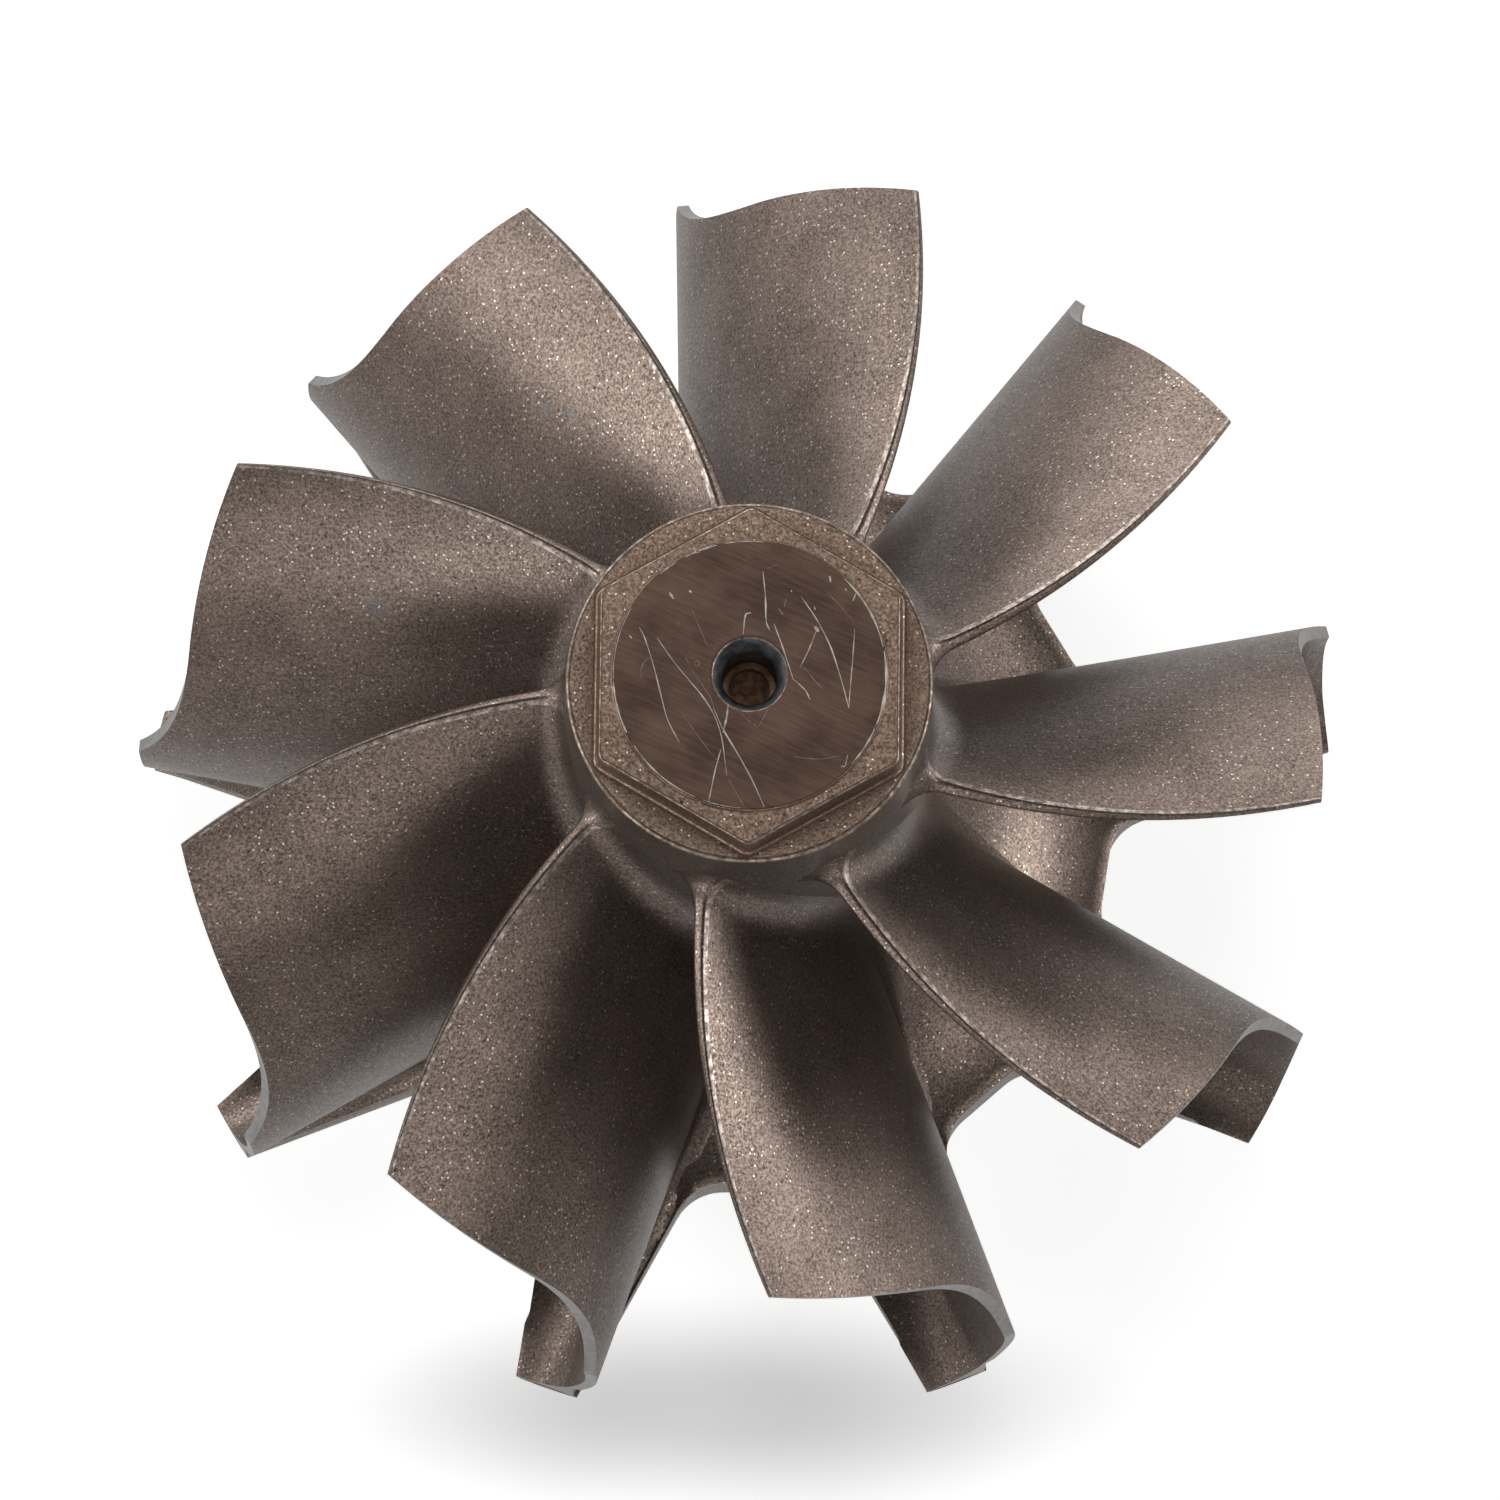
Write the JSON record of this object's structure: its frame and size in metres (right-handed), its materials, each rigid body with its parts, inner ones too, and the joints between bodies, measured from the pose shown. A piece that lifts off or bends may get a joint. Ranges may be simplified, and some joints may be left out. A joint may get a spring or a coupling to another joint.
{
  "type": "turbine wheel",
  "caption": "Radial-inflow turbocharger turbine wheel, cast in one piece, with twisted blades on a scalloped disc and a wrench hexagon on its nose.",
  "frame": {"origin": "on the wheel's axis, at the end face of the rear boss that it stands on", "axes": "+Z along the axis toward the nose, +Y toward one corner of the nose hexagon, +X across two of its flats"},
  "size_m": [0.0676, 0.067, 0.0487],
  "materials": {
    "cast_alloy": "shot-blasted nickel-alloy casting, turned on the blade edges and the nose face"
  },
  "bodies": {
    "root": {"turbine_wheel": "cast_alloy"}
  },
  "joints": []
}
